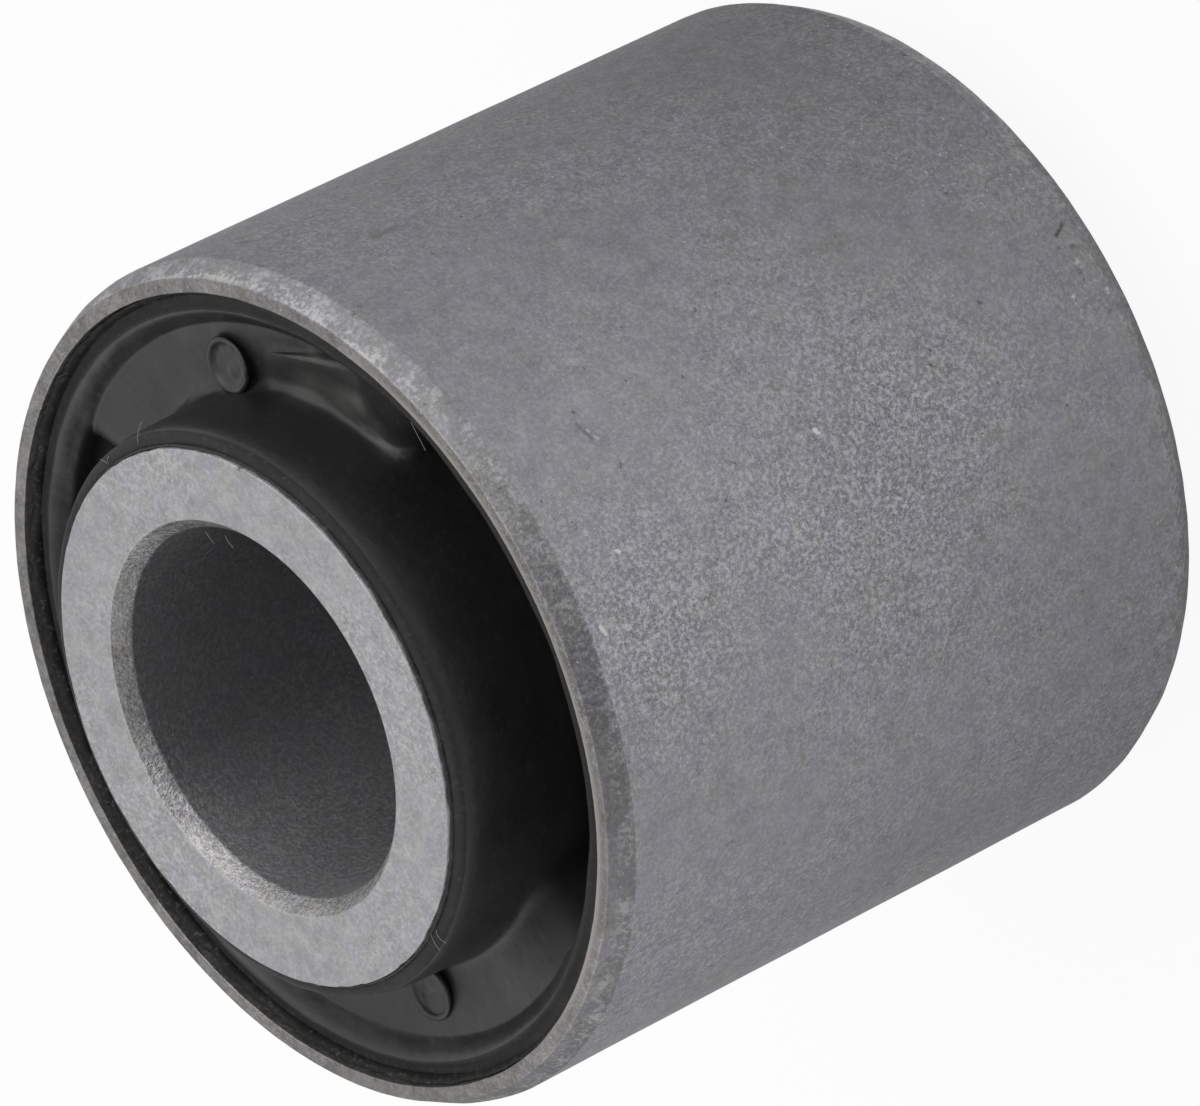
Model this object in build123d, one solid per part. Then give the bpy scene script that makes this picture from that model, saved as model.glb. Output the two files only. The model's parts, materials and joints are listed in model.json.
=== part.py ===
"""Rubber metal bush: a steel outer sleeve and a steel inner sleeve with a rubber moulding bonded between them.

The bush stands on the end face of its inner sleeve. Its axis is +Z, the origin is on the axis at the lower
end face, the voids in the rubber lie towards +X and -X and its two arms reach out towards +Y and -Y.
Both ends are alike. Every size is in millimetres.
"""
import os

from build123d import *

# Outer sleeve, drawn steel
OUTER_DIAMETER = 32.0
OUTER_LENGTH = 28.6
OUTER_WALL = 1.0
RIM_CHAMFER_LENGTH = 0.9
RIM_CHAMFER_DEPTH = 0.44

# Inner sleeve, thick steel tube
INNER_DIAMETER = 20.3
INNER_LENGTH = 33.6
BORE_DIAMETER = 14.0
BORE_CHAMFER_LENGTH = 0.6
BORE_CHAMFER_DEPTH = 0.5
INNER_EDGE_CHAMFER = 0.15

# Rubber skin around the inner sleeve
SKIN_THICKNESS = 0.7
SKIN_SETBACK = 0.2
SKIN_END_CHAMFER = 0.3
SKIN_FOOT_FILLET = 0.7

# Rubber lining inside the outer sleeve
LINING_THICKNESS = 1.5
LINING_RECESS = 0.4
LINING_SHOULDER_CHAMFER = 0.7

# Rubber arms between skin and lining
ARM_ANGLE = 94.0
ARM_RECESS = 1.45
ARM_EDGE_ROUND = 1.3
ARM_DIRECTIONS = (90.0, -90.0)

# Gate nubs, one on each arm at each end
NUB_DIAMETER = 2.2
NUB_HEIGHT = 0.35
NUB_CIRCLE_RADIUS = 11.9
NUB_DISH_DIAMETER = 1.5
NUB_DISH_DEPTH = 0.15

# Radii and heights above mid-length that follow from the sizes above
outer_radius = OUTER_DIAMETER / 2
housing_radius = outer_radius - OUTER_WALL
lining_radius = housing_radius - LINING_THICKNESS
inner_radius = INNER_DIAMETER / 2
skin_radius = inner_radius + SKIN_THICKNESS
bore_radius = BORE_DIAMETER / 2
inner_end = INNER_LENGTH / 2
skin_end = inner_end - SKIN_SETBACK
rim_end = OUTER_LENGTH / 2
lining_end = rim_end - LINING_RECESS
arm_end = rim_end - ARM_RECESS


def turned(upper_points, angle=360, start=0):
    """Solid of revolution with both ends alike, through points that each have a radius and a height."""
    lower_points = [(radius, -height) for radius, height in reversed(upper_points)]
    outline = Polyline(*upper_points, *lower_points, close=True)
    return Rot(0, 0, start) * revolve(Plane.XZ * make_face(outline), Axis.Z, angle)


def outer_sleeve():
    """Thin sleeve with a long shallow chamfer on the outside of each rim."""
    return turned([
        (housing_radius, rim_end),
        (outer_radius - RIM_CHAMFER_DEPTH, rim_end),
        (outer_radius, rim_end - RIM_CHAMFER_LENGTH),
    ])


def inner_sleeve():
    """Thick tube with a chamfered bore and slightly broken outer edges."""
    return turned([
        (bore_radius, inner_end - BORE_CHAMFER_LENGTH),
        (bore_radius + BORE_CHAMFER_DEPTH, inner_end),
        (inner_radius - INNER_EDGE_CHAMFER, inner_end),
        (inner_radius, inner_end - INNER_EDGE_CHAMFER),
    ])


def rubber_skin():
    """Rubber around the inner sleeve, ending just below its end faces."""
    return turned([
        (inner_radius, skin_end),
        (skin_radius - SKIN_END_CHAMFER, skin_end),
        (skin_radius, skin_end - SKIN_END_CHAMFER),
    ])


def rubber_lining():
    """Rubber inside the outer sleeve, with a sloping shoulder just below each rim."""
    return turned([
        (lining_radius, lining_end - LINING_SHOULDER_CHAMFER),
        (lining_radius + LINING_SHOULDER_CHAMFER, lining_end),
        (housing_radius, lining_end),
    ])


def rubber_arm(direction):
    """Arm from skin to lining, buried a little in both, with rounded edges towards the voids."""
    inside = (inner_radius + skin_radius) / 2
    outside = (lining_radius + housing_radius) / 2
    arm = turned([(inside, arm_end), (outside, arm_end)], ARM_ANGLE, direction - ARM_ANGLE / 2)
    edges_across = arm.edges().filter_by(GeomType.LINE).filter_by(Axis.Z, reverse=True)
    return fillet(edges_across, ARM_EDGE_ROUND)


def skin_joints(body):
    """Edges where the arms meet the skin, all round each arm."""
    def lies_on_skin(edge):
        places = [edge @ share for share in (0, 0.3, 0.7, 1)]
        return all(
            abs(place.cross(Vector(0, 0, 1)).length - skin_radius) < 1e-3 and abs(place.Z) < arm_end + 1e-3
            for place in places
        )
    return body.edges().filter_by(lies_on_skin)


def gate_nub(direction, side):
    """Dished disc on an arm's end face, where the rubber entered the mould. Side is 1 above and -1 below."""
    root = LINING_RECESS
    height = NUB_HEIGHT + root
    disc = Cylinder(NUB_DIAMETER / 2, height)
    disc -= Pos(0, 0, height / 2) * Cylinder(NUB_DISH_DIAMETER / 2, NUB_DISH_DEPTH * 2)
    facing = disc if side > 0 else disc.rotate(Axis.X, 180)
    place = Vector(NUB_CIRCLE_RADIUS, 0, side * (arm_end + NUB_HEIGHT - height / 2)).rotate(Axis.Z, direction)
    return Pos(place) * facing


def rubber_body():
    """The whole moulding: skin, lining, two arms filleted into the skin, and four nubs."""
    body = rubber_skin() + rubber_lining() + [rubber_arm(direction) for direction in ARM_DIRECTIONS]
    body = fillet(skin_joints(body), SKIN_FOOT_FILLET)
    return body + [gate_nub(direction, side) for direction in ARM_DIRECTIONS for side in (1, -1)]


def save(name, shape):
    """Stand the piece on the lower end face of the inner sleeve and write it."""
    export_step(Pos(0, 0, inner_end) * shape, f"parts/{name}.step")


os.makedirs("parts", exist_ok=True)
save("outer_sleeve", outer_sleeve())
save("rubber_body", rubber_body())
save("inner_sleeve", inner_sleeve())
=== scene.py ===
"""Rubber metal bush: a steel outer sleeve, a steel inner sleeve and a rubber moulding between them.

The bush stands on the lower end face of its inner sleeve, at z = 0, and its axis is +Z. The voids in the
rubber lie towards +X and -X, and its two arms reach out towards +Y and -Y. Places and sizes are in metres.
Marks, fibres and dust are placed in millimetres, from the axis and from the middle of the bush's height.
"""
import json
import math

import bmesh
import bpy
from bpy.props import FloatProperty, FloatVectorProperty, IntProperty, PointerProperty
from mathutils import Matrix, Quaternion, Vector, noise


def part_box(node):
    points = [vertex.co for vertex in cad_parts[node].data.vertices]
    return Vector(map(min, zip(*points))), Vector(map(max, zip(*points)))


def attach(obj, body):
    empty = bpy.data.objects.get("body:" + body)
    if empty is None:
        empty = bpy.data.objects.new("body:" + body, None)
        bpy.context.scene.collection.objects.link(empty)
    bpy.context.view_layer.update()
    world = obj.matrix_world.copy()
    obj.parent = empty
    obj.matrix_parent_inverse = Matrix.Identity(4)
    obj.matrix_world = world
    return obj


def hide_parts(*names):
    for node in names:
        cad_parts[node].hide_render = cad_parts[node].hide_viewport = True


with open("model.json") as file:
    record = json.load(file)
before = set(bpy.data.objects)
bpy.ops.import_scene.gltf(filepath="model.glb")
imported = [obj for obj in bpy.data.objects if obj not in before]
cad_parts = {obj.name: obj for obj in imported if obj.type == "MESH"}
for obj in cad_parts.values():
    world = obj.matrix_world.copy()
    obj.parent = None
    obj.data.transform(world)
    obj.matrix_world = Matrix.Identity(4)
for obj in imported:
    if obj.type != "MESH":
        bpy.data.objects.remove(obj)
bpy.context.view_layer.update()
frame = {"record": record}

bl_info = {
    "name": "Rubber metal bush",
    "version": (1, 0, 0),
    "blender": (4, 5, 0),
    "location": "View3D > Sidebar > Bush",
    "description": "Models and finishes the sleeves and the rubber of a rubber metal bush",
    "category": "Add Mesh",
}

MM = 0.001
BODY = "root"
SNAP = 0.002 * MM
LONG_EDGE = 5 * MM
SLEEVE_LOW, SLEEVE_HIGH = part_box("outer_sleeve")
TUBE_LOW, TUBE_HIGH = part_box("inner_sleeve")
MIDDLE = (TUBE_LOW.z + TUBE_HIGH.z) / 2
BORE_MOUNT = next(mount for mount in frame["record"]["mounts"] if mount["kind"] == "bore")

# How many clouds of each pattern go to a millimetre
STEEL_CLOUDS = 0.16
STEEL_TINTS = 0.9
STEEL_PATCHES = 1.3
STEEL_SPECKS = 2.6
STEEL_CRYSTALS = 5.5
STEEL_RUBBED = 7.0
STEEL_GRAIN = 13.0
RUBBER_FLOW = 0.5
RUBBER_STREAK = 0.9
RUBBER_FLECKS = 4.5
RUBBER_PORES = 7.0

# Patches on the front of the sleeve, painted with more contrast between the crystals and more bright spots
# as a painted sparkle: middle and reach
SPARKLE_PATCHES = (((15.9, 1.5, -1.0), 9), ((16.0, 0.8, 10.5), 7))

# Duller patch of the lower arm, and its patch of streaks: middle and reach
DULL_PATCH = ((9.5, -8.5, 12.8), 6)
STREAKED_PATCH = ((7.0, -10.0, 12.8), 4)

# Dark scratches and stains: start, end, half width and strength
SLEEVE_SCARS = (
    ((13.83, 8.05, 9.72), (14.17, 7.43, 9.52), 0.12, 0.45),
    ((14.37, 7.04, -13.03), (14.49, 6.78, -12.53), 0.14, 0.9),
    ((14.73, 6.24, -12.95), (14.73, 6.24, -12.85), 0.16, 0.6),
    ((15.08, 5.36, -12.62), (15.06, 5.42, -12.6), 0.18, 0.7),
    ((14.67, 6.38, -12.34), (14.67, 6.38, -12.3), 0.14, 0.5),
    ((1.14, 15.96, 11.85), (1.4, 15.94, 11.75), 0.3, 0.5),
    ((2.57, 15.79, 10.88), (2.6, 15.79, 10.8), 0.2, 0.4),
    ((5.35, 15.08, 9.32), (5.31, 15.09, 8.34), 0.28, 0.4),
    ((3.76, 15.55, 13.28), (3.9, 15.52, 13.3), 0.2, 0.4),
)
TUBE_SCARS = (((3.9, 9.3, 16.8), (4.1, 9.5, 16.8), 0.16, 0.9),)

# Light scratches and painted glints of bare crystals: start, end, half width and strength
SLEEVE_GLINTS = (
    ((14.0, 7.74, 9.47), (14.21, 7.35, 9.3), 0.09, 0.56),
    ((14.94, 5.72, -12.72), (14.92, 5.76, -12.7), 0.22, 0.48),
    ((15.29, 4.71, -11.82), (15.29, 4.71, -11.78), 0.16, 1.12),
    ((15.38, 4.41, -13.34), (15.4, 4.33, -13.4), 0.18, 1.12),
    ((15.35, 4.53, 1.05), (15.38, 4.42, 0.95), 0.13, 3.52),
    ((15.53, 3.84, 10.95), (15.56, 3.74, 10.85), 0.12, 2.4),
    ((15.95, 1.29, 8.85), (15.96, 1.15, 8.7), 0.12, 2.4),
    ((15.9, 1.78, 12.85), (15.93, 1.5, 12.75), 0.12, 2.4),
)

# Painted highlights on the upper arm and its ridge, as light streaks: start, end, half width and strength
RUBBER_PAINTED_HIGHLIGHTS = (
    ((2.3, 12.3, 12.9), (4.8, 12.1, 12.9), 0.55, 0.4),
    ((4.8, 12.1, 12.9), (6.8, 11.2, 12.9), 0.55, 0.4),
    ((-1.1, 10.7, 12.9), (0.6, 10.8, 12.9), 0.5, 0.3),
    ((3.1, 11.0, 12.9), (6.3, 10.2, 12.9), 1.0, 0.5),
    ((6.3, 10.2, 12.9), (7.3, 8.5, 12.9), 0.7, 0.4),
)

# Lamps: name, place and width in metres, power in watts, and whether they show in reflections
LAMPS = (
    ("side_lamp", (0.30, 0.52, 0.30), 0.35, 0.2, True),
    ("other_side_lamp", (-0.2, -0.5, 0.42), 0.4, 0.45, True),
    ("top_lamp", (0.0, 0.33, 0.62), 0.45, 1.4, True),
    ("front_lamp", (0.5, -0.05, 0.35), 0.4, 0.6, False),
)

# Loose fibres, each through three places
FIBRES = (
    ((-1.90, 9.94, 16.5), (-1.75, 10.6, 16.7), (-1.09, 11.14, 16.6)),
    ((-3.85, 9.45, 16.55), (-4.0, 9.7, 16.6), (-4.15, 9.82, 16.7)),
    ((-3.90, 9.50, 16.55), (-3.85, 9.75, 16.7), (-3.70, 9.89, 16.6)),
    ((9.81, 9.81, 13.5), (10.05, 9.2, 13.55), (10.17, 8.60, 13.5)),
    ((6.20, -7.98, 16.6), (6.25, -8.4, 16.7), (6.41, -8.73, 16.6)),
    ((6.55, -7.95, 16.55), (6.5, -8.2, 16.7), (6.75, -8.5, 16.5)),
    ((0.81, 7.05, 16.8), (0.85, 6.8, 16.75), (0.81, 6.5, 16.6)),
    ((1.90, 6.90, 16.8), (1.8, 6.6, 16.75), (1.88, 6.35, 16.6)),
)

# Grains of dust
GRAINS = ((7.0, 8.21, 12.85),)


def length(name, description, default):
    """Setting that holds a length in metres."""
    return FloatProperty(name=name, description=description, default=default, unit="LENGTH")


def degrees(name, description, default):
    """Setting that holds an angle, whose default is given in degrees."""
    return FloatProperty(name=name, description=description, default=math.radians(default), subtype="ANGLE")


def fraction(name, description, default):
    """Setting that holds a share between 0 and 1."""
    return FloatProperty(name=name, description=description, default=default, subtype="FACTOR")


def number(name, description, default):
    """Setting that holds a number of divisions."""
    return IntProperty(name=name, description=description, default=default)


def paint(name, description, default):
    """Setting that holds a colour as linear values."""
    return FloatVectorProperty(name=name, description=description, default=default, subtype="COLOR")


class OuterSleeveSizes(bpy.types.PropertyGroup):
    """Sizes of the thin outer sleeve"""
    radius: length("Radius", "Outside radius", SLEEVE_HIGH.x)
    bottom: length("Bottom", "Height of the lower rim", SLEEVE_LOW.z)
    top: length("Top", "Height of the upper rim", SLEEVE_HIGH.z)
    wall: length("Wall", "Thickness of the drawn wall", 1.0 * MM)
    chamfer_length: length("Chamfer length", "Length of the rim chamfer along the axis", 0.9 * MM)
    chamfer_depth: length("Chamfer depth", "Depth of the rim chamfer across the wall", 0.44 * MM)
    edge_round: length("Edge rounding", "Rounding of the worn edges", 0.06 * MM)
    crest_round: length("Crest rounding", "Rounding where the rim chamfer meets the drawn wall", 0.12 * MM)
    unevenness: length("Unevenness", "How far the drawn wall wanders in and out", 0.012 * MM)
    rim_wander: length("Rim wander", "How far the rims wander in and out", 0.02 * MM)
    steps: number("Steps", "Divisions around the sleeve", 300)
    rows: number("Rows", "Divisions along the sleeve", 72)


class InnerSleeveSizes(bpy.types.PropertyGroup):
    """Sizes of the thick inner sleeve"""
    radius: length("Radius", "Outside radius", TUBE_HIGH.x)
    bottom: length("Bottom", "Height of the lower end face", TUBE_LOW.z)
    top: length("Top", "Height of the upper end face", TUBE_HIGH.z)
    bore_radius: length("Bore radius", "Radius of the bolt bore", BORE_MOUNT["dims"]["r_mm"] * MM)
    chamfer_length: length("Chamfer length", "Length of the bore chamfer along the axis", 0.6 * MM)
    chamfer_width: length("Chamfer width", "Width of the bore chamfer on the end face", 0.5 * MM)
    edge_round: length("Edge rounding", "Rounding of the edges", 0.06 * MM)
    edge_wear: length("Edge wear", "How deep the outer edges are nibbled", 0.07 * MM)
    steps: number("Steps", "Divisions around the sleeve", 300)
    rows: number("Rows", "Divisions along the bore", 12)


class RubberSizes(bpy.types.PropertyGroup):
    """Sizes of the rubber moulding"""
    skin_thickness: length("Skin thickness", "Rubber around the inner sleeve", 0.7 * MM)
    skin_setback: length(
        "Skin setback", "How far the skin ends below the end face of the inner sleeve", 0.2 * MM)
    skin_edge: length("Skin edge", "Width of the sloping edge of the skin", 0.3 * MM)
    foot_reach: length("Foot reach", "Reach of the rounding at the foot of the skin", 0.8 * MM)
    lining_thickness: length("Lining thickness", "Rubber inside the outer sleeve", 1.5 * MM)
    ridge_recess: length("Ridge recess", "How far the ridge of the lining lies below the rim", 0.4 * MM)
    ridge_inset: length("Ridge inset", "Distance of the ridge from the outer sleeve", 0.85 * MM)
    ridge_width: length("Ridge width", "Width of the slope from the ridge to the rough end face", 0.3 * MM)
    end_recess: length("End recess", "How far the rough end face lies below the rim", 0.62 * MM)
    seat: length("Seat", "Small bevel where the rubber meets the steel", 0.06 * MM)
    arm_recess: length("Arm recess", "How far the arms lie below the rim, at the skin", 1.6 * MM)
    arm_rise: length("Arm rise", "How much higher the arms are at the lining than at the skin", 0.4 * MM)
    arm_angle: degrees("Arm angle", "Angle that each arm takes up", 94)
    front_trim: degrees("Front trim", "How much less far each arm reaches round on the side towards +X", 3)
    valley_width: length("Valley width", "Width of the valley between arm and lining", 0.12 * MM)
    unevenness: length("Unevenness", "How far the moulded faces wander in and out", 0.03 * MM)
    ridge_unevenness: length(
        "Ridge unevenness", "How far the ridge of the lining wanders up and down", 0.06 * MM)
    cage_steps: number(
        "Cage steps", "Divisions around the cage, a multiple of 8. Fewer make the arms' edges rounder", 40)
    wall_rows: number("Wall rows", "Divisions along the walls of the voids", 12)
    levels: number("Levels", "Subdivision levels of the cage", 2)
    flash_height: length("Flash height", "Height of the ragged flash around the inner sleeve", 0.16 * MM)
    flash_width: length("Flash width", "Width of the flash at its foot", 0.16 * MM)
    flash_steps: number("Flash steps", "Divisions around the flash", 420)


class NubSizes(bpy.types.PropertyGroup):
    """Sizes of the gate nubs on the arms"""
    radius: length("Radius", "Radius of a nub", 1.1 * MM)
    height: length("Height", "Height above the foot of the arm", 0.55 * MM)
    root: length("Root", "Depth below the arm's face", 0.4 * MM)
    undercut: length("Undercut", "How much narrower a nub is at its foot", 0.2 * MM)
    circle_radius: length("Circle radius", "Distance of a nub from the axis", 11.9 * MM)
    lip: length("Lip", "Width of the raised lip", 0.3 * MM)
    dish: length("Dish", "Depth of the torn middle below the lip", 0.15 * MM)
    roughness: length("Roughness", "Height of the torn rubber in the middle", 0.09 * MM)
    steps: number("Steps", "Divisions around a nub", 40)


class LintSizes(bpy.types.PropertyGroup):
    """Sizes of the loose fibres and grains of dust"""
    fibre_radius: length("Fibre radius", "Radius of a fibre", 0.012 * MM)
    grain_radius: length("Grain radius", "Radius of a grain of dust", 0.06 * MM)


class BushColours(bpy.types.PropertyGroup):
    """Colours of the finishes, as linear values"""
    sleeve: paint("Sleeve", "Phosphated steel of the outer sleeve", (0.285, 0.282, 0.291))
    sleeve_dark: paint(
        "Sleeve, dark", "Dark specks and scratches on the outer sleeve", (0.07, 0.068, 0.066))
    # Rubbed crystals, and also the colour of the painted glints and painted highlights on the steel
    sleeve_rubbed_and_glint: paint("Sleeve, light", "Rubbed crystals on the outer sleeve", (0.58, 0.58, 0.59))
    chamfer: paint("Chamfer", "Drawn chamfers of the outer sleeve", (0.255, 0.25, 0.253))
    rim: paint("Rim", "Cut edge of the outer sleeve", (0.215, 0.207, 0.198))
    # Bare steel along the rim's inner edge, which is also a painted highlight on the side towards +X
    rim_edge_bare_and_lit: paint("Rim edge", "Bare line along the inner edge of the rim", (0.37, 0.35, 0.328))
    tube: paint("Tube", "End faces of the inner sleeve", (0.37, 0.37, 0.37))
    bore: paint("Bore", "Bore of the inner sleeve", (0.28, 0.28, 0.28))
    bore_chamfer: paint("Bore chamfer", "Chamfer of the bore", (0.25, 0.245, 0.238))
    rubber: paint("Rubber", "Moulded rubber", (0.0155, 0.0155, 0.0155))
    # Dusty flecks, and also the colour of the painted light in the voids and of the painted highlights on
    # the upper arm
    rubber_dust_and_light: paint("Rubber dust", "Dusty flecks on the rubber", (0.13, 0.128, 0.122))
    lint: paint("Lint", "Hairs and dust", (0.28, 0.27, 0.26))


class StudioSettings(bpy.types.PropertyGroup):
    """Camera, floor and light"""
    azimuth: degrees("Azimuth", "Direction of the camera from +X towards +Y", 15.176)
    elevation: degrees("Elevation", "Height of the camera above the horizon", 35.758)
    roll: degrees("Roll", "Turn of the camera about its line of sight", -116.26)
    distance: length("Distance", "Camera distance from the middle of the bush", 0.428)
    aim: FloatVectorProperty(
        name="Aim", description="Point in the middle of the picture", subtype="TRANSLATION",
        default=(0.000025, -0.000174, 0.016888))
    lens: FloatProperty(
        name="Lens", description="Focal length in millimetres", default=357.905)
    floor_size: length("Floor size", "Side of the square floor", 3.0)
    floor_colour: paint("Floor colour", "Paint of the floor", (0.82, 0.82, 0.82))
    floor_glow: fraction("Floor glow", "Share of plain white that the camera sees on the floor", 0.93)
    reflected_glow: fraction(
        "Reflected glow", "Share of plain white that reflections see on the floor", 0.5)
    world_level: FloatProperty(
        name="World level", description="Strength of the even light from all round", default=0.62)
    front_azimuth: degrees("Front azimuth", "Direction of the open, darker side of the light tent", -10)
    front_level: fraction("Front level", "Share of the light that comes from the open side", 0.25)


def radius_of(place):
    """Distance of a place from the axis."""
    return math.hypot(place.x, place.y)


def wave(place, per_metre):
    """Smooth random value around 0 that changes about so many times to a metre."""
    return noise.noise(place * per_metre)


def turned(corners, steps, closed=True):
    """Mesh turned about the axis from a section, whose corners each have a radius and a height."""
    bm = bmesh.new()
    section = [bm.verts.new((radius, 0, height)) for radius, height in corners]
    following = section[1:] + section[:1] if closed else section[1:]
    sides = [bm.edges.new(pair) for pair in zip(section, following)]
    bmesh.ops.spin(
        bm, geom=section + sides, cent=(0, 0, 0), axis=(0, 0, 1), angle=math.tau, steps=steps,
        use_merge=True)
    bmesh.ops.remove_doubles(bm, verts=bm.verts, dist=SNAP)
    bmesh.ops.recalc_face_normals(bm, faces=bm.faces)
    return bm


def ring_edges(bm, radius, height):
    """Edges of the ring that one corner of a turned section has drawn."""
    def on_ring(vert):
        return abs(radius_of(vert.co) - radius) < SNAP and abs(vert.co.z - height) < SNAP
    return [edge for edge in bm.edges if on_ring(edge.verts[0]) and on_ring(edge.verts[1])]


def round_ring(bm, radius, height, reach):
    """Rounds the edge that one corner of a turned section has drawn."""
    bmesh.ops.bevel(
        bm, geom=ring_edges(bm, radius, height), offset=reach, offset_type="OFFSET", segments=3,
        profile=0.5, affect="EDGES", material=-1)


def upright_edges(edges, inside=0, outside=math.inf):
    """Those of some edges that run far along the axis and lie between two radii."""
    return [
        edge for edge in edges
        if abs(edge.verts[0].co.z - edge.verts[1].co.z) > LONG_EDGE
        and inside < radius_of(edge.verts[0].co) < outside
    ]


def subdivided(bm, levels):
    """Smooths a cage with the Subdivision Surface modifier and gives back the smooth mesh."""
    cage_mesh = bpy.data.meshes.new("cage")
    bm.to_mesh(cage_mesh)
    cage = bpy.data.objects.new("cage", cage_mesh)
    bpy.context.scene.collection.objects.link(cage)
    modifier = cage.modifiers.new("Smooth", "SUBSURF")
    modifier.levels = levels
    modifier.render_levels = levels
    smooth = cage.evaluated_get(bpy.context.evaluated_depsgraph_get())
    bm.clear()
    bm.from_mesh(smooth.to_mesh())
    smooth.to_mesh_clear()
    bpy.data.objects.remove(cage)
    bpy.data.meshes.remove(cage_mesh)
    return bm


def flatten_shading(bm):
    """Shades level faces flat and all others smooth."""
    almost_level = 0.999
    for face in bm.faces:
        face.smooth = abs(face.normal.z) < almost_level


def add_piece(name, bm, finishes, *stands_for):
    """Makes an object of a finished bmesh. It rides on the bush and stands for the nodes that are named."""
    mesh = bpy.data.meshes.new(name)
    bm.to_mesh(mesh)
    bm.free()
    for finish in finishes:
        mesh.materials.append(finish)
    piece = bpy.data.objects.new(name, mesh)
    bpy.context.scene.collection.objects.link(piece)
    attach(piece, BODY)
    for node in stands_for:
        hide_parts(node)
    return piece


class Value:
    """A socket that can stand in an expression, in which every operation adds its Math node."""

    def __init__(self, nodes, socket):
        self.nodes = nodes
        self.socket = socket

    def math(self, operation, *terms):
        """Adds a Math node on these terms."""
        return self.nodes.add("ShaderNodeMath", {"operation": operation}, dict(enumerate(terms)))

    def __add__(self, other):
        return self.math("ADD", self, other)

    def __radd__(self, other):
        return self.math("ADD", other, self)

    def __sub__(self, other):
        return self.math("SUBTRACT", self, other)

    def __rsub__(self, other):
        return self.math("SUBTRACT", other, self)

    def __mul__(self, other):
        return self.math("MULTIPLY", self, other)

    def __rmul__(self, other):
        return self.math("MULTIPLY", other, self)

    def __truediv__(self, other):
        return self.math("DIVIDE", self, other)

    def __pow__(self, other):
        return self.math("POWER", self, other)

    def __abs__(self):
        return self.math("ABSOLUTE", self)

    def __gt__(self, other):
        return self.math("GREATER_THAN", self, other)

    def ramp(self, low, high, from_value=0.0, to_value=1.0):
        """Eases from one value to another while this one goes from low to high, which may lie below low."""
        return self.nodes.add(
            "ShaderNodeMapRange", {"interpolation_type": "SMOOTHSTEP"},
            {"Value": self, "From Min": low, "From Max": high, "To Min": from_value, "To Max": to_value})


class Nodes:
    """The node tree of a material or of the world. Its method add() makes every node."""

    def __init__(self, tree):
        self.tree = tree

    def add(self, kind, settings=None, sockets=None, output=0):
        """Adds a node, makes its settings, then sets or links its sockets, and gives one of its outputs."""
        node = self.tree.nodes.new(kind)
        for name, setting in (settings or {}).items():
            setattr(node, name, setting)
        for name, value in (sockets or {}).items():
            self.join(node.inputs[name], value)
        return Value(self, node.outputs[output])

    def vector_math(self, operation, sockets, output=0):
        """Adds a Vector Math node."""
        return self.add("ShaderNodeVectorMath", {"operation": operation}, sockets, output)

    def join(self, socket, value):
        """Sets a socket to a plain value, or links another node's output to it."""
        if isinstance(value, Value):
            self.tree.links.new(value.socket, socket)
        elif socket.type == "RGBA":
            socket.default_value = (*value, 1)
        else:
            socket.default_value = value

    def is_ray(self, *kinds):
        """1 for rays of any of these kinds, and 0 for all others."""
        rays = [self.add("ShaderNodeLightPath", output=f"Is {kind} Ray") for kind in kinds]
        result = rays[0]
        for ray in rays[1:]:
            result = result.math("MAXIMUM", result, ray)
        return result


class Finish(Nodes):
    """One node material, whose patterns read places in millimetres, with z from mid-length."""

    def __init__(self, name):
        self.material = bpy.data.materials.new(name)
        self.material.use_nodes = True
        super().__init__(self.material.node_tree)
        self.shader = self.tree.nodes["Principled BSDF"]
        object_place = self.add("ShaderNodeTexCoord", output="Object")
        from_middle = self.vector_math("SUBTRACT", {0: object_place, 1: (0, 0, MIDDLE)})
        self.place = self.vector_math("SCALE", {"Vector": from_middle, "Scale": 1 / MM})
        self.x, self.y, self.z = (
            self.add("ShaderNodeSeparateXYZ", sockets={"Vector": self.place}, output=axis) for axis in "XYZ")
        self.radius = (self.x * self.x + self.y * self.y) ** 0.5

    def noise(self, per_mm, detail=2.0, roughness=0.5, place=None):
        """Cloudy pattern around 0.5, with about so many clouds to a millimetre."""
        return self.add("ShaderNodeTexNoise", sockets={
            "Vector": place or self.place, "Scale": per_mm, "Detail": detail, "Roughness": roughness})

    def near(self, place, reach):
        """1 at a place, easing to 0 at its reach."""
        distance = self.vector_math("DISTANCE", {0: self.place, 1: place}, output="Value")
        return distance.ramp(reach, 0.0)

    def stroke(self, start, end, reach):
        """1 along a short line between two places, easing to 0 at its reach."""
        along = Vector(end) - Vector(start)
        from_start = self.vector_math("SUBTRACT", {0: self.place, 1: start})
        share = self.vector_math(
            "DOT_PRODUCT", {0: from_start, 1: along / along.length_squared}, output="Value")
        share = self.add("ShaderNodeClamp", sockets={"Value": share})
        nearest = self.vector_math("SCALE", {"Vector": along, "Scale": share})
        distance = self.vector_math("DISTANCE", {0: from_start, 1: nearest}, output="Value")
        return distance.ramp(reach, 0.0)

    def strokes(self, rows, broken_by, pattern):
        """Adds short lines to a pattern, broken up by another pattern."""
        for start, end, half_width, strength in rows:
            pattern = pattern + self.stroke(start, end, half_width) * broken_by * strength
        return pattern

    def blend(self, first, second, amount):
        """Colour between two others."""
        return self.add(
            "ShaderNodeMix", {"data_type": "RGBA"}, {0: amount, 6: first, 7: second}, output=2)

    def set(self, sockets):
        """Sets or links sockets of the Principled shader."""
        for name, value in sockets.items():
            self.join(self.shader.inputs[name], value)

    def bump(self, height, depth, under=None):
        """Bump from a pattern between 0 and 1, as deep as the real relief is, in metres."""
        sockets = {"Height": height, "Distance": depth, "Strength": 1.0}
        if under is not None:
            sockets["Normal"] = under
        return self.add("ShaderNodeBump", sockets=sockets)


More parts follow.
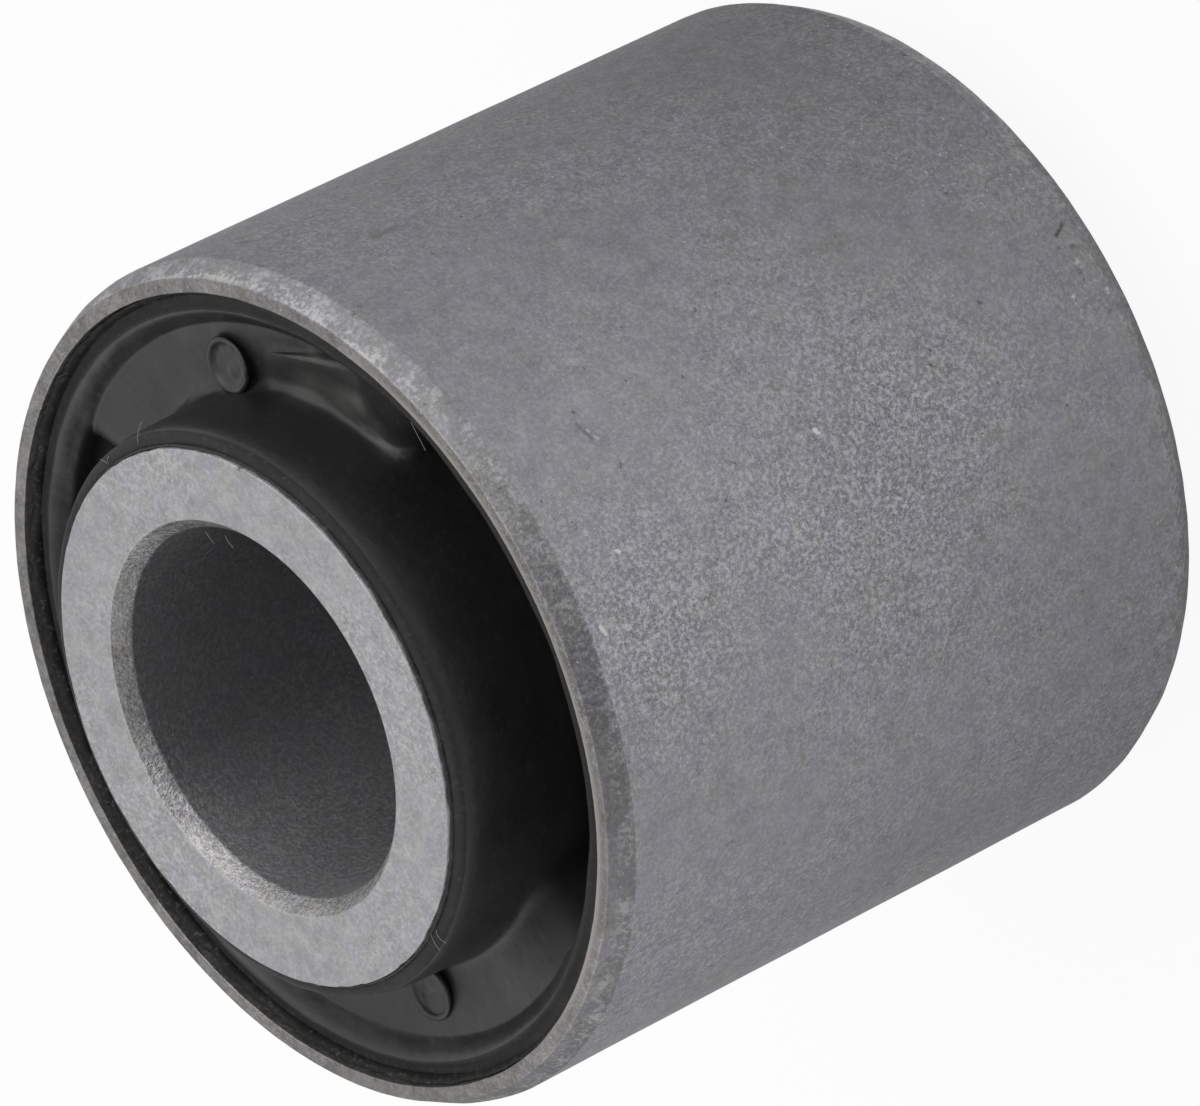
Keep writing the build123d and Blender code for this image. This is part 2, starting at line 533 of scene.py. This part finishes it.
def steel_finish(
        name, colours, base, grain, roughness, relief, mottle=0.45, specks=0.7, crest_wear_and_glint=None,
        rim_wear_and_glint=None, bare_and_lit_edge=None, painted_light_and_shade=(), scars=(), glints=()):
    """Phosphated steel: crystals, soft clouds, rubbed bright crystals, and dark specks and scratches.

    Grain and mottle are the contrast of the crystals and of the patches, and specks is the strength of the
    dark specks. The crest height and the radii of the rim and of the bare edge place bands where the steel
    is painted brighter, partly as wear and partly as painted highlight. Each row of the painted light and
    shade makes the tone lighter and darker along an axis: axis, first and last place, first and last tone.
    """
    crystal_contrast, grain_contrast, cloud_contrast = 0.45, 0.7, 0.14
    finish = Finish(name)
    clouds = finish.noise(STEEL_CLOUDS, detail=3)
    patches = finish.noise(STEEL_PATCHES, detail=3)
    crystals = finish.noise(STEEL_CRYSTALS, detail=2, roughness=0.6)
    fine = finish.noise(STEEL_GRAIN, detail=1)
    coarse_and_sparkle = clouds.ramp(0.4, 0.6, 0.6, 1.0)
    # Painted sparkle: the front patches get stronger crystals and more bright spots
    for place, reach in SPARKLE_PATCHES:
        coarse_and_sparkle = coarse_and_sparkle + finish.near(place, reach) * 1.1
    grains = (crystals.ramp(0.38, 0.72) - 0.3) * crystal_contrast + (fine - 0.5) * grain_contrast
    tone = (grains * coarse_and_sparkle + (patches - 0.5) * mottle) * grain + (clouds - 0.5) * cloud_contrast + 1.0
    # Painted light and shade: the tone is made lighter and darker along an axis
    for axis, first, last, first_tone, last_tone in painted_light_and_shade:
        tone = tone * getattr(finish, axis).ramp(first, last, first_tone, last_tone)
    cooler_base = [base[0] * 0.99, base[1] * 0.98, base[2] * 1.05]
    cooler = finish.noise(STEEL_TINTS, detail=1).ramp(0.35, 0.65)
    colour = finish.blend(base, cooler_base, cooler)
    colour = finish.vector_math("SCALE", {"Vector": colour, "Scale": tone})
    # Rubbed crystals and painted glints, both painted towards the light colour
    bright = finish.noise(STEEL_RUBBED, detail=3, roughness=0.75).ramp(0.62, 0.72) * coarse_and_sparkle
    bright = finish.strokes(glints, crystals.ramp(0.4, 0.56), bright)
    mottled = patches * crystals
    # Bright mottling along the crest of each chamfer, partly wear and partly painted glint
    if crest_wear_and_glint:
        near_crest = abs(abs(finish.z) - crest_wear_and_glint / MM - 0.25).ramp(0.5, 0.05)
        bright = bright + near_crest * mottled.ramp(0.22, 0.36) * 0.35
    # Bright mottling along the rim's edge, only on the side towards +Y: partly wear and partly painted
    # highlight
    if rim_wear_and_glint:
        near_rim = abs(finish.radius - rim_wear_and_glint / MM - 0.08).ramp(0.2, 0.0) * finish.y.ramp(9.0, 13.0)
        bright = bright + near_rim * mottled.ramp(0.2, 0.34) * 0.8
    dark = finish.noise(STEEL_SPECKS, detail=4, roughness=0.7).ramp(0.34, 0.29) * specks
    dark = finish.strokes(scars, crystals.ramp(0.3, 0.5), dark)
    colour = finish.blend(colour, colours.sleeve_rubbed_and_glint, bright * 0.8)
    colour = finish.blend(colour, colours.sleeve_dark, dark)
    if bare_and_lit_edge:
        # A light line along the inner edge of the rim, painted only towards +X: partly bare steel and partly
        # painted highlight
        bare_and_lit = (finish.radius + (patches - 0.5) * 0.2).ramp(bare_and_lit_edge / MM + 0.35, bare_and_lit_edge / MM)
        colour = finish.blend(colour, colours.rim_edge_bare_and_lit, bare_and_lit * finish.x.ramp(6.0, 12.0))
    finish.set({
        "Base Color": colour,
        "Metallic": 0.75,
        "Specular Tint": (0.4, 0.4, 0.4),
        "Roughness": roughness + (crystals - 0.5) * 0.3 - bright * 0.1,
        "Normal": finish.bump(crystals + fine * 0.4, relief),
    })
    return finish.material


def rubber_finish(name, colours, dustiness, roughness, gloss=0.5, marks=False):
    """Moulded black rubber: semi-gloss, with faint flow marks, and flecked with dust. The walls of the voids
    are painted lighter as painted light, and with marks the upper arm gets painted highlights.
    """
    finish = Finish(name)
    flow = finish.noise(RUBBER_FLOW, detail=3)
    pores = finish.noise(RUBBER_PORES, detail=2)
    flecks = finish.noise(RUBBER_FLECKS, detail=4, roughness=0.7).ramp(0.54, 0.68)
    # Painted light: the walls of the voids are painted towards the dust colour, fully towards -X and hardly
    # towards +X
    in_voids = abs(finish.x).ramp(8.0, 10.0) * abs(finish.z).ramp(12.6, 11.6)
    dust_and_painted_light = flecks * dustiness + in_voids * finish.x.ramp(-8, 8, 1.0, 0.05)
    relief = finish.bump(pores, 0.004 * MM, finish.bump(flow, 0.12 * MM))
    dull = 0.0
    if marks:
        # Painted highlights: light streaks on the upper arm and along its ridge, in the dust colour
        dust_and_painted_light = finish.strokes(RUBBER_PAINTED_HIGHLIGHTS, flow.ramp(0.2, 0.7), dust_and_painted_light)
        relief = flow_marks(finish, relief)
        dull = finish.near(*DULL_PATCH) * 0.35
    finish.set({
        "Base Color": finish.blend(colours.rubber, colours.rubber_dust_and_light, dust_and_painted_light),
        "Roughness": (flow - 0.5) * 0.3 + flecks * dustiness * 0.3 + dull + roughness,
        "Specular IOR Level": gloss,
        "Normal": relief,
    })
    return finish.material


def flow_marks(finish, under):
    """Relief of the arms' ends: crest at the skin, streaks on the lower arm and fold by the upper nub."""
    crest_radius, crest_reach, crest_wander = 10.65, 0.35, 0.9
    at_ends = abs(finish.z).ramp(11.8, 12.4)
    wander = finish.noise(RUBBER_FLOW, detail=1) * crest_wander
    crest = abs(finish.radius - wander - crest_radius).ramp(crest_reach, 0.0) * at_ends * (finish.y > 0)
    turn = finish.y.math("ARCTAN2", finish.y, finish.x) * 12
    turned_place = {"X": turn, "Y": finish.radius * 0.35, "Z": finish.z}
    spread = finish.add("ShaderNodeCombineXYZ", sockets=turned_place)
    streaks = finish.noise(RUBBER_STREAK, detail=3, place=spread) * finish.near(*STREAKED_PATCH)
    fold_start_x, fold_start_y, fold_slope = 2.3, 12.2, 0.09
    along = finish.x - fold_start_x
    across = finish.y + along * fold_slope - fold_start_y
    fold = abs(across / (along * 0.09 + 0.02)).ramp(1.0, 0.0) * along.ramp(0.0, 0.6) * along.ramp(6.0, 3.0)
    at_top = finish.z > 11
    relief = finish.bump(crest, 0.035 * MM, under)
    relief = finish.bump(streaks, 0.14 * MM, relief)
    return finish.bump(0.0 - fold * at_top, 0.09 * MM, relief)


def plain_finish(name, colour, roughness):
    """Fibres and grains, too small to show more than a little shade."""
    finish = Finish(name)
    darker = [part * 0.6 for part in colour]
    finish.set({
        "Base Color": finish.blend(colour, darker, finish.noise(3.0)),
        "Roughness": roughness,
    })
    return finish.material


class MakeOuterSleeve(bpy.types.Operator):
    """Make the outer sleeve of drawn steel, with chamfered and slightly worn rims"""
    bl_idname = "bush.make_outer_sleeve"
    bl_label = "Outer sleeve"

    def execute(self, context):
        sizes = context.scene.bush_outer_sleeve
        colours = context.scene.bush_colours
        housing = sizes.radius - sizes.wall
        rim = sizes.radius - sizes.chamfer_depth
        lower_edge = sizes.bottom + sizes.chamfer_length
        upper_edge = sizes.top - sizes.chamfer_length
        crest_corners = [(sizes.radius, lower_edge), (sizes.radius, upper_edge)]
        rim_corners = [
            (rim, sizes.top), (housing, sizes.top), (housing, sizes.bottom), (rim, sizes.bottom)]
        bm = turned(crest_corners + rim_corners, sizes.steps)
        for radius, height in rim_corners:
            round_ring(bm, radius, height, sizes.edge_round)
        for radius, height in crest_corners:
            round_ring(bm, radius, height, sizes.crest_round)
        bmesh.ops.subdivide_edges(
            bm, edges=upright_edges(bm.edges, inside=rim), cuts=sizes.rows, use_grid_fill=True)
        self.wear(bm, sizes)
        flatten_shading(bm)
        for face in bm.faces:
            middle = face.calc_center_median()
            beyond = max(middle.z - upper_edge, lower_edge - middle.z)
            faces_up_or_down = abs(face.normal.z) > 0.7
            if faces_up_or_down or radius_of(middle) < rim - sizes.edge_round:
                face.material_index = 2
            elif beyond > -sizes.crest_round / 2:
                face.material_index = 1
        piece = add_piece("outer_sleeve_steel", bm, [
            steel_finish(
                "phosphated_steel", colours, colours.sleeve, 1.0, 0.5, 0.02 * MM,
                crest_wear_and_glint=upper_edge - MIDDLE,
                # Painted light and shade: lighter towards the upper end, darker towards +Y and a little
                # darker towards -Y
                painted_light_and_shade=[("z", -14, 13, 0.88, 1.12), ("y", 4, 15, 1.02, 0.78), ("y", 1, -5, 1.02, 0.93)],
                scars=SLEEVE_SCARS, glints=SLEEVE_GLINTS),
            steel_finish(
                "chamfered_steel", colours, colours.chamfer, 0.9, 0.45, 0.015 * MM, mottle=0.6,
                crest_wear_and_glint=upper_edge - MIDDLE, rim_wear_and_glint=rim,
                # Painted light and shade: the chamfers lighter towards +Y and darker towards -Y
                painted_light_and_shade=[("y", -6, 8, 0.92, 1.1), ("y", 9, 14, 0.92, 1.1)], scars=SLEEVE_SCARS,
                glints=SLEEVE_GLINTS),
            steel_finish(
                "cut_steel", colours, colours.rim, 1.0, 0.45, 0.02 * MM, mottle=1.0, bare_and_lit_edge=housing),
        ], "outer_sleeve")
        return {"FINISHED"}

    def wear(self, bm, sizes):
        """Lets the drawn wall wander a little, most of all at its rims."""
        near_rim = 1.4 * sizes.chamfer_length
        for vert in bm.verts:
            outward = Vector((vert.co.x, vert.co.y, 0)).normalized()
            below_rim = min(sizes.top - vert.co.z, vert.co.z - sizes.bottom)
            wander = wave(vert.co, per_metre=250) * sizes.unevenness
            if below_rim < near_rim:
                wander += wave(vert.co, per_metre=1100) * sizes.rim_wander
            vert.co += outward * wander


class MakeInnerSleeve(bpy.types.Operator):
    """Make the inner sleeve, a thick steel tube with a chamfered bore"""
    bl_idname = "bush.make_inner_sleeve"
    bl_label = "Inner sleeve"

    def execute(self, context):
        sizes = context.scene.bush_inner_sleeve
        colours = context.scene.bush_colours
        mouth = sizes.bore_radius + sizes.chamfer_width
        lower_mouth = sizes.bottom + sizes.chamfer_length
        upper_mouth = sizes.top - sizes.chamfer_length
        corners = [
            (sizes.bore_radius, lower_mouth), (mouth, sizes.bottom), (sizes.radius, sizes.bottom),
            (sizes.radius, sizes.top), (mouth, sizes.top), (sizes.bore_radius, upper_mouth),
        ]
        bm = turned(corners, sizes.steps)
        for radius, height in corners:
            round_ring(bm, radius, height, sizes.edge_round)
        bmesh.ops.subdivide_edges(
            bm, edges=upright_edges(bm.edges, outside=mouth), cuts=sizes.rows, use_grid_fill=True)
        for vert in bm.verts:
            from_edge = min(vert.co.z - sizes.bottom, sizes.top - vert.co.z)
            if radius_of(vert.co) > mouth + sizes.edge_round and from_edge < sizes.edge_round * 1.5:
                nibbled = max(0, wave(vert.co, per_metre=1500) + 0.5 * wave(vert.co, per_metre=5000))
                vert.co.xy *= 1 - nibbled * sizes.edge_wear / sizes.radius
        flatten_shading(bm)
        for face in bm.faces:
            middle = face.calc_center_median()
            if radius_of(middle) < mouth - sizes.edge_round / 2 and lower_mouth < middle.z < upper_mouth:
                face.material_index = 1
            elif radius_of(middle) < mouth:
                face.material_index = 2
        piece = add_piece("inner_sleeve_steel", bm, [
            steel_finish(
                "faced_steel", colours, colours.tube, 0.8, 0.55, 0.015 * MM, mottle=0.6, specks=0.2,
                scars=TUBE_SCARS),
            steel_finish(
                "bore_steel", colours, colours.bore, 0.8, 0.5, 0.03 * MM, mottle=0.2, specks=0.2,
                # Painted light: the bore lighter on its side towards -Y
                painted_light_and_shade=[("y", -1, -6, 0.85, 1.5)]),
            steel_finish(
                "countersunk_steel", colours, colours.bore_chamfer, 1.5, 0.45, 0.05 * MM, mottle=0.6,
                # Painted light: the bore chamfer lighter on its side towards -Y
                specks=0.2, painted_light_and_shade=[("y", 0, -6, 0.9, 1.3)]),
        ], "inner_sleeve")
        return {"FINISHED"}


class MakeRubber(bpy.types.Operator):
    """Make the rubber moulding between the sleeves, with its two arms and two voids"""
    bl_idname = "bush.make_rubber"
    bl_label = "Rubber moulding"

    def execute(self, context):
        rubber = context.scene.bush_rubber
        sleeve = context.scene.bush_outer_sleeve
        tube = context.scene.bush_inner_sleeve
        colours = context.scene.bush_colours
        skin = tube.radius + rubber.skin_thickness
        housing = sleeve.radius - sleeve.wall
        lining = housing - rubber.lining_thickness
        ridge = housing - rubber.ridge_inset
        skin_end = tube.top - rubber.skin_setback
        arm_foot = sleeve.top - rubber.arm_recess
        arm_top = arm_foot + rubber.arm_rise
        ridge_top = sleeve.top - rubber.ridge_recess
        end_face = sleeve.top - rubber.end_recess
        slope = (ridge_top - arm_top) / (ridge - lining)
        upper = [
            (tube.radius, skin_end - rubber.seat),
            (tube.radius + rubber.seat, skin_end),
            (skin - rubber.skin_edge, skin_end),
            (skin, skin_end - rubber.skin_edge),
            (skin, arm_foot + rubber.foot_reach),
            (skin, arm_foot),
            (skin + rubber.foot_reach, arm_foot + rubber.arm_rise * 0.2),
            (lining - 4 * rubber.valley_width, arm_top - rubber.arm_rise * 0.2),
            (lining - rubber.valley_width, arm_top),
            (lining, arm_top),
            (lining + rubber.valley_width, arm_top + rubber.valley_width * slope),
            (ridge - rubber.valley_width, ridge_top - rubber.valley_width),
            (ridge + rubber.valley_width, ridge_top),
            (ridge + rubber.ridge_width, end_face),
            (housing - rubber.seat, end_face),
            (housing, end_face - rubber.seat),
        ]
        # Subdividing draws each ring of the cage in, to this share of its radius
        pull = 1 - (1 - math.cos(math.tau / rubber.cage_steps)) / 3
        upper = [(radius / pull, height) for radius, height in upper]
        lower = [(radius, 2 * MIDDLE - height) for radius, height in reversed(upper)]
        bm = turned(upper + lower, rubber.cage_steps)
        self.open_voids(bm, rubber, skin / pull, lining / pull)
        bm = subdivided(bm, rubber.levels)
        self.widen_arms(bm, rubber)
        self.relieve(bm, rubber, ridge)
        for face in bm.faces:
            face.smooth = True
            middle = face.calc_center_median()
            from_middle = abs(middle.z - MIDDLE)
            at_lining_end = from_middle > end_face - MIDDLE - rubber.ridge_width
            at_skin_end = from_middle > skin_end - MIDDLE - rubber.skin_edge * 0.8
            if at_skin_end or (at_lining_end and radius_of(middle) > ridge + rubber.seat):
                face.material_index = 1
        piece = add_piece("rubber_moulding", bm, [
            rubber_finish("moulded_rubber", colours, 0.08, 0.42, gloss=0.45, marks=True),
            rubber_finish("flecked_rubber", colours, 0.2, 0.7, gloss=0.3),
        ], "rubber_body")
        return {"FINISHED"}

    def open_voids(self, bm, rubber, skin, lining):
        """Opens both voids from end to end between skin and lining, and gives them their walls."""
        margin = 0.01 * MM
        over_voids = []
        for face in bm.faces:
            middle = face.calc_center_median()
            in_between = skin + margin < radius_of(middle) < lining - margin
            if in_between and abs(middle.y) < abs(middle.x):
                over_voids.append(face)
        bmesh.ops.delete(bm, geom=over_voids, context="FACES")
        for side in (1, -1):
            loops = [edge for edge in bm.edges if edge.is_boundary and edge.verts[0].co.x * side > 0]
            walls = bmesh.ops.bridge_loops(bm, edges=loops)
            bmesh.ops.subdivide_edges(
                bm, edges=upright_edges(walls["edges"]), cuts=rubber.wall_rows - 1, use_grid_fill=True)
        bmesh.ops.recalc_face_normals(bm, faces=bm.faces)

    def widen_arms(self, bm, rubber):
        """Turns the arms' sides away from each other, from quarter circles to their angle."""
        swing = (rubber.arm_angle - math.pi / 2) / 2
        for vert in bm.verts:
            radius = radius_of(vert.co)
            angle = math.atan2(vert.co.y, vert.co.x)
            in_front = min(1, max(0, 2 * math.cos(angle)))
            angle -= (swing - rubber.front_trim * in_front) * math.sin(2 * angle)
            vert.co.x = radius * math.cos(angle)
            vert.co.y = radius * math.sin(angle)

    def relieve(self, bm, rubber, ridge):
        """Gives the moulded faces their soft unevenness."""
        bm.normal_update()
        for vert in bm.verts:
            wander = wave(vert.co, per_metre=330) + 0.4 * wave(vert.co, per_metre=1100)
            vert.co += vert.normal * wander * rubber.unevenness
            if abs(radius_of(vert.co) - ridge) < rubber.ridge_width * 1.5:
                vert.co.z += wave(vert.co, per_metre=700) * rubber.ridge_unevenness


class MakeFlash(bpy.types.Operator):
    """Make the ragged flash where the ends of the rubber meet the sleeves"""
    bl_idname = "bush.make_flash"
    bl_label = "Flash"

    def execute(self, context):
        rubber = context.scene.bush_rubber
        sleeve = context.scene.bush_outer_sleeve
        tube = context.scene.bush_inner_sleeve
        colours = context.scene.bush_colours
        housing = sleeve.radius - sleeve.wall
        skin_end = tube.top - rubber.skin_setback
        end_face = sleeve.top - rubber.end_recess
        self.add_flash(
            "skin_flash", rubber, tube.radius, 1, skin_end, rubber.flash_height, rubber.flash_width,
            rubber_finish("torn_skin", colours, 0.5, 0.6))
        self.add_flash(
            "lining_flash", rubber, housing, -1, end_face, rubber.end_recess - rubber.seat,
            2 * rubber.flash_width, rubber_finish("torn_lining", colours, 0.6, 0.75, gloss=0.3))
        return {"FINISHED"}

    def add_flash(self, name, rubber, radius, away, foot, height, width, finish):
        """Adds a ring of flash to a sleeve at both ends. Away is 1 outwards and -1 inwards."""
        root = foot - rubber.seat
        beside_sleeve = radius + away * rubber.seat / 6
        bm = turned([
            (radius + away * width, root),
            (radius + away * width * 0.45, foot + height * 0.45),
            (radius + away * rubber.seat, foot + height),
            (beside_sleeve, foot + height * 0.7),
            (beside_sleeve, root),
        ], rubber.flash_steps)
        for vert in bm.verts:
            if vert.co.z > root + SNAP:
                torn = 0.35 * wave(vert.co, per_metre=800) + 0.3 * wave(vert.co, per_metre=3000)
                vert.co.z = root + (vert.co.z - root) * (0.75 + torn)
        lower = bmesh.ops.duplicate(bm, geom=bm.verts[:] + bm.edges[:] + bm.faces[:])["geom"]
        lower_verts = [part for part in lower if isinstance(part, bmesh.types.BMVert)]
        bmesh.ops.rotate(
            bm, verts=lower_verts, cent=(0, 0, MIDDLE), matrix=Quaternion((1, 0, 0), math.pi).to_matrix())
        for face in bm.faces:
            face.smooth = True
        piece = add_piece(name, bm, [finish], "rubber_body")


class MakeNubs(bpy.types.Operator):
    """Make the four gate nubs, one on each arm at each end"""
    bl_idname = "bush.make_nubs"
    bl_label = "Gate nubs"

    def execute(self, context):
        nub = context.scene.bush_nubs
        rubber = context.scene.bush_rubber
        sleeve = context.scene.bush_outer_sleeve
        colours = context.scene.bush_colours
        arm_foot = sleeve.top - rubber.arm_recess
        bm = bmesh.new()
        for arm in (1, -1):
            for end in (1, -1):
                place = Vector((0, arm * nub.circle_radius, MIDDLE + end * (arm_foot - MIDDLE)))
                self.add_nub(bm, nub, place, end)
        bmesh.ops.recalc_face_normals(bm, faces=bm.faces)
        for face in bm.faces:
            face.smooth = True
        piece = add_piece("gate_nubs", bm, [
            rubber_finish("torn_rubber", colours, 0.2, 0.42),
        ], "rubber_body")
        return {"FINISHED"}

    def add_nub(self, bm, nub, place, end):
        """Adds one nub: a disc with a rounded lip around a torn middle, standing up from its place."""
        lower, deeper = (1, 1) if place.y > 0 else (0.75, 1.7)
        height = nub.height * lower
        dish = nub.dish * deeper
        inner_lip = nub.radius - nub.lip
        corners = [(inner_lip * share, height - dish) for share in (0, 0.25, 0.5, 0.75, 0.92)]
        corners += [
            (inner_lip * 1.08, height - dish * 0.3), (nub.radius - nub.lip * 0.5, height),
            (nub.radius - nub.lip * 0.1, height - dish * 0.1), (nub.radius, height - dish * 0.6),
            (nub.radius - nub.undercut * 0.5, height - dish),
            (nub.radius - nub.undercut, height * 0.4), (nub.radius - nub.undercut, -nub.root),
        ]
        disc = turned(corners, nub.steps, closed=False)
        for vert in disc.verts:
            torn = 1 - min(1, radius_of(vert.co) / inner_lip)
            vert.co.z += wave(vert.co + place, per_metre=2600) * nub.roughness * (0.25 + torn)
            vert.co.z *= end
            vert.co += place
        rim_loop = [edge for edge in disc.edges if edge.is_boundary]
        bmesh.ops.holes_fill(disc, edges=rim_loop)
        finished = bpy.data.meshes.new("nub")
        disc.to_mesh(finished)
        disc.free()
        bm.from_mesh(finished)
        bpy.data.meshes.remove(finished)


class MakeLint(bpy.types.Operator):
    """Make the loose fibres and the grains of dust that lie on the bush"""
    bl_idname = "bush.make_lint"
    bl_label = "Lint"

    def execute(self, context):
        lint = context.scene.bush_lint
        colours = context.scene.bush_colours
        fibres = bmesh.new()
        for start, middle, end in FIBRES:
            self.add_fibre(fibres, lint, start, middle, end)
        add_piece("lint_fibres", fibres, [plain_finish("lint", colours.lint, 0.7)])
        grains = bmesh.new()
        for place in GRAINS:
            place = Vector(place) * MM + Vector((0, 0, MIDDLE))
            added = bmesh.ops.create_icosphere(grains, subdivisions=2, radius=lint.grain_radius)["verts"]
            for vert in added:
                vert.co *= 1 + 0.5 * noise.noise(vert.co * 9000 + place * 1000)
                vert.co += place
        add_piece("dust_grains", grains, [plain_finish("dust", colours.lint, 0.7)])
        return {"FINISHED"}

    def add_fibre(self, bm, lint, start, middle, end):
        """Adds a thin bent fibre through three places."""
        curve = bpy.data.curves.new("fibre", "CURVE")
        curve.dimensions = "3D"
        curve.bevel_depth = lint.fibre_radius
        curve.bevel_resolution = 1
        spline = curve.splines.new("NURBS")
        spline.points.add(2)
        for point, place in zip(spline.points, (start, middle, end)):
            point.co = (*(Vector(place) * MM + Vector((0, 0, MIDDLE))), 1)
        spline.order_u = 3
        spline.use_endpoint_u = True
        fibre = bpy.data.objects.new("fibre", curve)
        mesh = bpy.data.meshes.new_from_object(fibre)
        bm.from_mesh(mesh)
        bpy.data.meshes.remove(mesh)
        bpy.data.objects.remove(fibre)
        bpy.data.curves.remove(curve)


class MakeStudio(bpy.types.Operator):
    """Set up the floor, the even light, the lamps and the camera"""
    bl_idname = "bush.make_studio"
    bl_label = "Studio"

    def execute(self, context):
        studio = context.scene.bush_studio
        self.add_floor(context, studio)
        self.light_world(context, studio)
        for name, place, size, power, in_reflections in LAMPS:
            self.add_lamp(context, name, place, size, power, in_reflections)
        self.add_camera(context, studio)
        context.scene.view_settings.view_transform = "Standard"
        return {"FINISHED"}

    def add_floor(self, context, studio):
        """Plain pale floor that the camera sees nearly white, but for the shadow of the bush."""
        bm = bmesh.new()
        bmesh.ops.create_grid(bm, x_segments=1, y_segments=1, size=studio.floor_size / 2)
        mesh = bpy.data.meshes.new("floor")
        bm.to_mesh(mesh)
        bm.free()
        floor = bpy.data.objects.new("floor", mesh)
        context.scene.collection.objects.link(floor)
        finish = Finish("floor_paint")
        finish.set({"Base Color": studio.floor_colour, "Roughness": 0.9})
        white = finish.add("ShaderNodeEmission", sockets={"Color": (1, 1, 1), "Strength": 1.0})
        glow = finish.is_ray("Glossy", "Transmission") * studio.reflected_glow
        glow = glow + finish.is_ray("Camera") * studio.floor_glow
        surface = finish.add("ShaderNodeMixShader", sockets={
            0: glow, 1: Value(finish, finish.shader.outputs[0]), 2: white})
        finish.join(finish.tree.nodes["Material Output"].inputs["Surface"], surface)
        mesh.materials.append(finish.material)

    def light_world(self, context, studio):
        """Even light from all round but for the open side of the tent, and white for the camera."""
        world = bpy.data.worlds.new("soft_light")
        world.use_nodes = True
        context.scene.world = world
        nodes = Nodes(world.node_tree)
        front_height = 0.25
        front = Vector((math.cos(studio.front_azimuth), math.sin(studio.front_azimuth), front_height))
        front.normalize()
        direction = nodes.add("ShaderNodeTexCoord", output="Generated")
        towards = nodes.vector_math("DOT_PRODUCT", {0: direction, 1: front}, output="Value")
        open_side = towards.ramp(0.55, 0.92, 1.0, studio.front_level)
        in_reflections = nodes.is_ray("Glossy", "Transmission").ramp(0.0, 1.0, studio.world_level, 1.0)
        strength = nodes.is_ray("Camera").ramp(0.0, 1.0, in_reflections * open_side, 1.0)
        background = world.node_tree.nodes["Background"]
        nodes.join(background.inputs["Color"], (1, 1, 1))
        nodes.join(background.inputs["Strength"], strength)

    def add_lamp(self, context, name, place, size, power, in_reflections):
        """Square lamp that shines on the middle of the bush."""
        light = bpy.data.lights.new(name, "AREA")
        light.shape = "SQUARE"
        light.size = size
        light.energy = power
        lamp = bpy.data.objects.new(name, light)
        lamp.location = place
        lamp.visible_glossy = in_reflections
        towards = Vector((0, 0, MIDDLE)) - Vector(place)
        lamp.rotation_mode = "QUATERNION"
        lamp.rotation_quaternion = towards.to_track_quat("-Z", "Y")
        context.scene.collection.objects.link(lamp)

    def add_camera(self, context, studio):
        """Long lens from above and in front of a void, turned about its line of sight."""
        data = bpy.data.cameras.new("camera")
        data.lens = studio.lens
        data.sensor_width = 36
        data.clip_start = 0.01
        back = Vector((
            math.cos(studio.azimuth) * math.cos(studio.elevation),
            math.sin(studio.azimuth) * math.cos(studio.elevation),
            math.sin(studio.elevation)))
        camera = bpy.data.objects.new("camera", data)
        camera.location = Vector(studio.aim) + back * studio.distance
        camera.rotation_mode = "QUATERNION"
        camera.rotation_quaternion = (
            (-back).to_track_quat("-Z", "Y") @ Quaternion((0, 0, 1), studio.roll))
        context.scene.collection.objects.link(camera)
        context.scene.camera = camera


class BushPanel(bpy.types.Panel):
    """Sizes, colours and makers of the bush, in the sidebar of the 3D view"""
    bl_idname = "VIEW3D_PT_rubber_metal_bush"
    bl_label = "Rubber metal bush"
    bl_space_type = "VIEW_3D"
    bl_region_type = "UI"
    bl_category = "Bush"

    def draw(self, context):
        for label, settings, group, operators in SECTIONS:
            box = self.layout.box()
            box.label(text=label)
            for name in group.__annotations__:
                box.prop(getattr(context.scene, settings), name)
            for operator in operators:
                box.operator(operator.bl_idname)


# Sections of the panel: heading, name of the settings in the scene, their class, and the makers
SECTIONS = (
    ("Outer sleeve", "bush_outer_sleeve", OuterSleeveSizes, [MakeOuterSleeve]),
    ("Inner sleeve", "bush_inner_sleeve", InnerSleeveSizes, [MakeInnerSleeve]),
    ("Rubber", "bush_rubber", RubberSizes, [MakeRubber, MakeFlash]),
    ("Gate nubs", "bush_nubs", NubSizes, [MakeNubs]),
    ("Lint", "bush_lint", LintSizes, [MakeLint]),
    ("Colours", "bush_colours", BushColours, []),
    ("Studio", "bush_studio", StudioSettings, [MakeStudio]),
)


def register():
    """Makes the settings, the operators and the panel known to Blender."""
    for label, settings, group, operators in SECTIONS:
        bpy.utils.register_class(group)
        setattr(bpy.types.Scene, settings, PointerProperty(type=group))
        for operator in operators:
            bpy.utils.register_class(operator)
    bpy.utils.register_class(BushPanel)


def unregister():
    """Takes them away again."""
    bpy.utils.unregister_class(BushPanel)
    for label, settings, group, operators in reversed(SECTIONS):
        for operator in operators:
            bpy.utils.unregister_class(operator)
        delattr(bpy.types.Scene, settings)
        bpy.utils.unregister_class(group)


def main():
    """Makes every piece and the studio."""
    register()
    bpy.ops.bush.make_outer_sleeve()
    bpy.ops.bush.make_inner_sleeve()
    bpy.ops.bush.make_rubber()
    bpy.ops.bush.make_flash()
    bpy.ops.bush.make_nubs()
    bpy.ops.bush.make_lint()
    bpy.ops.bush.make_studio()


if __name__ == "__main__":
    main()
